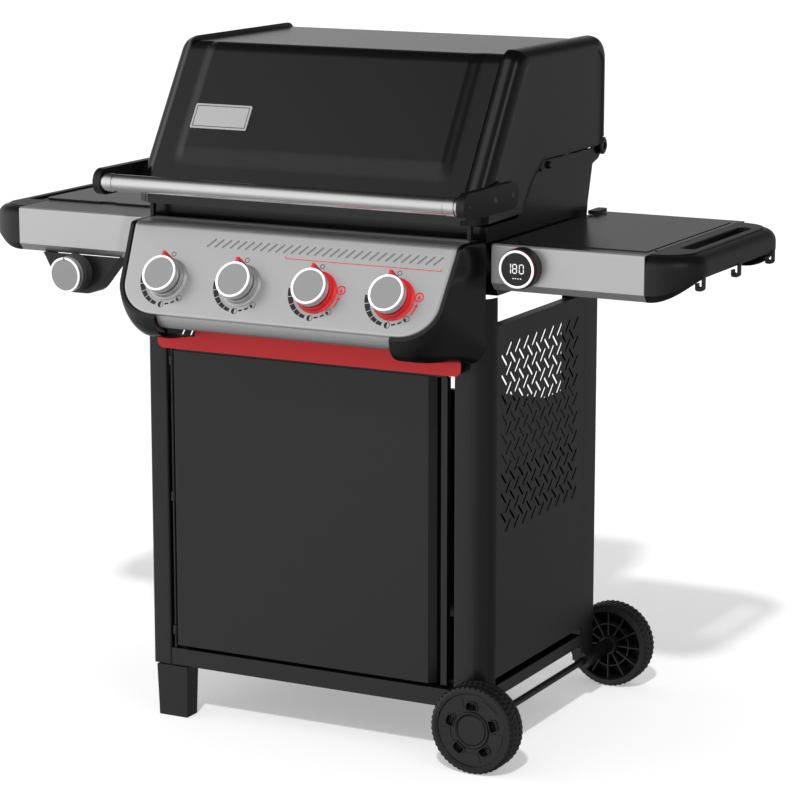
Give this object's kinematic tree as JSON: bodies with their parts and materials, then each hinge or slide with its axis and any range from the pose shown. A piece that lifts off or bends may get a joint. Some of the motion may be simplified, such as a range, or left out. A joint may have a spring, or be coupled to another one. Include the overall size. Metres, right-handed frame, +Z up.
{
  "type": "gas barbecue grill",
  "caption": "Gas barbecue grill on a wheeled cabinet cart, with a hinged lid, angled control panel, side burner and two side tables.",
  "frame": {"origin": "centre of the whole box at floor level", "axes": "+Z up, +X to the right seen from the front, -Y towards the person cooking"},
  "size_m": [1.344, 0.7158, 1.184],
  "materials": {
    "black_paint": "black powder coat with a fine satin texture",
    "enamel": "black porcelain enamel, semi-gloss",
    "silver_paint": "silver-grey metallic paint, satin",
    "black_plastic": "black moulded nylon, fine matt grain",
    "grey_plastic": "silver-grey moulded knob with a bright ring",
    "red_paint": "red satin paint",
    "polished_steel": "bright brushed stainless tube",
    "steel": "plain stainless or plated steel",
    "cast_iron": "enamelled cast iron, matt",
    "valve_brass": "plain brass castings on a gas rail",
    "wheel_plastic": "hard black moulded wheel, matt"
  },
  "bodies": {
    "frame": {"leg_front_left": "black_paint", "leg_rear_left": "black_paint", "leg_front_right": "black_paint", "leg_rear_right": "black_paint", "foot_front_left": "black_plastic", "foot_rear_left": "black_plastic", "side_panel_left": "black_paint", "side_panel_right": "black_paint", "back_panel": "black_paint", "bottom_shelf": "black_paint", "front_rail": "black_paint", "heat_shield_rail": "red_paint", "axle": "steel", "door_hinge_rod": "steel", "cookbox": "enamel", "burner_tube_1": "steel", "burner_tube_2": "steel", "burner_tube_3": "steel", "burner_tube_4": "steel", "cooking_grate_left": "cast_iron", "cooking_grate_right": "cast_iron", "warming_rack": "steel", "gas_manifold": "valve_brass", "lid_hinge_pin_left": "steel", "lid_hinge_pin_right": "steel", "control_panel": "silver_paint", "panel_cap_left": "black_plastic", "panel_cap_right": "black_plastic", "table_left": "black_paint", "table_right": "black_paint", "fascia_left": "silver_paint", "fascia_right": "silver_paint", "end_cap_left": "black_plastic", "end_cap_right": "black_plastic", "side_burner_head": "cast_iron", "side_burner_grate": "cast_iron", "side_burner_bracket": "black_paint", "gauge": "black_plastic"},
    "lid": {"lid_shroud": "enamel", "lid_end_left": "enamel", "lid_end_right": "enamel", "handle_tube": "polished_steel", "handle_arm_left": "black_plastic", "handle_arm_right": "black_plastic"},
    "door": {"door_panel": "black_paint"},
    "stem_1": {"valve_stem_1": "steel"},
    "knob_1": {"knob_1": "grey_plastic"},
    "stem_2": {"valve_stem_2": "steel"},
    "knob_2": {"knob_2": "grey_plastic"},
    "stem_3": {"valve_stem_3": "steel"},
    "knob_3": {"knob_3": "grey_plastic"},
    "stem_4": {"valve_stem_4": "steel"},
    "knob_4": {"knob_4": "grey_plastic"},
    "side_stem": {"side_burner_stem": "steel"},
    "side_knob": {"side_burner_knob": "grey_plastic"},
    "front_wheel": {"wheel_front": "wheel_plastic"},
    "rear_wheel": {"wheel_rear": "wheel_plastic"},
    "burner_cover": {"side_burner_cover": "black_paint"},
    "grease_drawer": {"grease_tray": "steel", "catch_pan": "steel"}
  },
  "joints": [
    {"name": "lid_hinge", "type": "hinge", "parent": "frame", "child": "lid", "pos_m": [0, 0.2543, 0.993], "axis": [-1, 0, 0], "range_deg": [0, 85]},
    {"name": "door_hinge", "type": "hinge", "parent": "frame", "child": "door", "pos_m": [-0.2795, -0.1967, 0.39], "axis": [0, 0, -1], "range_deg": [0, 110]},
    {"name": "knob_1_push", "type": "slide", "parent": "frame", "child": "stem_1", "axis": [0, 0.8788, -0.4772], "range_m": [0, 0.003], "stiffness_N_per_m": 1500, "springref_m": -0.002},
    {"name": "knob_1_turn", "type": "hinge", "parent": "stem_1", "child": "knob_1", "pos_m": [-0.212, -0.3147, 0.8008], "axis": [0, -0.8788, 0.4772], "range_deg": [0, 240]},
    {"name": "knob_2_push", "type": "slide", "parent": "frame", "child": "stem_2", "axis": [0, 0.8788, -0.4772], "range_m": [0, 0.003], "stiffness_N_per_m": 1500, "springref_m": -0.002},
    {"name": "knob_2_turn", "type": "hinge", "parent": "stem_2", "child": "knob_2", "pos_m": [-0.0707, -0.3147, 0.8008], "axis": [0, -0.8788, 0.4772], "range_deg": [0, 240]},
    {"name": "knob_3_push", "type": "slide", "parent": "frame", "child": "stem_3", "axis": [0, 0.8788, -0.4772], "range_m": [0, 0.003], "stiffness_N_per_m": 1500, "springref_m": -0.002},
    {"name": "knob_3_turn", "type": "hinge", "parent": "stem_3", "child": "knob_3", "pos_m": [0.0707, -0.3147, 0.8008], "axis": [0, -0.8788, 0.4772], "range_deg": [0, 270]},
    {"name": "knob_4_push", "type": "slide", "parent": "frame", "child": "stem_4", "axis": [0, 0.8788, -0.4772], "range_m": [0, 0.003], "stiffness_N_per_m": 1500, "springref_m": -0.002},
    {"name": "knob_4_turn", "type": "hinge", "parent": "stem_4", "child": "knob_4", "pos_m": [0.212, -0.3147, 0.8008], "axis": [0, -0.8788, 0.4772], "range_deg": [0, 270]},
    {"name": "side_knob_push", "type": "slide", "parent": "frame", "child": "side_stem", "axis": [0, 1, 0], "range_m": [0, 0.003], "stiffness_N_per_m": 1500, "springref_m": -0.002},
    {"name": "side_knob_turn", "type": "hinge", "parent": "side_stem", "child": "side_knob", "pos_m": [-0.478, -0.1927, 0.774], "axis": [0, -1, 0], "range_deg": [0, 240]},
    {"name": "front_wheel_spin", "type": "hinge", "parent": "frame", "child": "front_wheel", "pos_m": [0.3195, -0.2247, 0.0762], "axis": [0, 1, 0], "continuous": true},
    {"name": "rear_wheel_spin", "type": "hinge", "parent": "frame", "child": "rear_wheel", "pos_m": [0.3195, 0.3353, 0.0762], "axis": [0, 1, 0], "continuous": true},
    {"name": "burner_cover_hinge", "type": "hinge", "parent": "frame", "child": "burner_cover", "pos_m": [-0.4805, 0.2003, 0.8848], "axis": [-1, 0, 0], "range_deg": [0, 95]},
    {"name": "grease_tray_slide", "type": "slide", "parent": "frame", "child": "grease_drawer", "axis": [0, 1, 0], "range_m": [0, 0.25]}
  ]
}
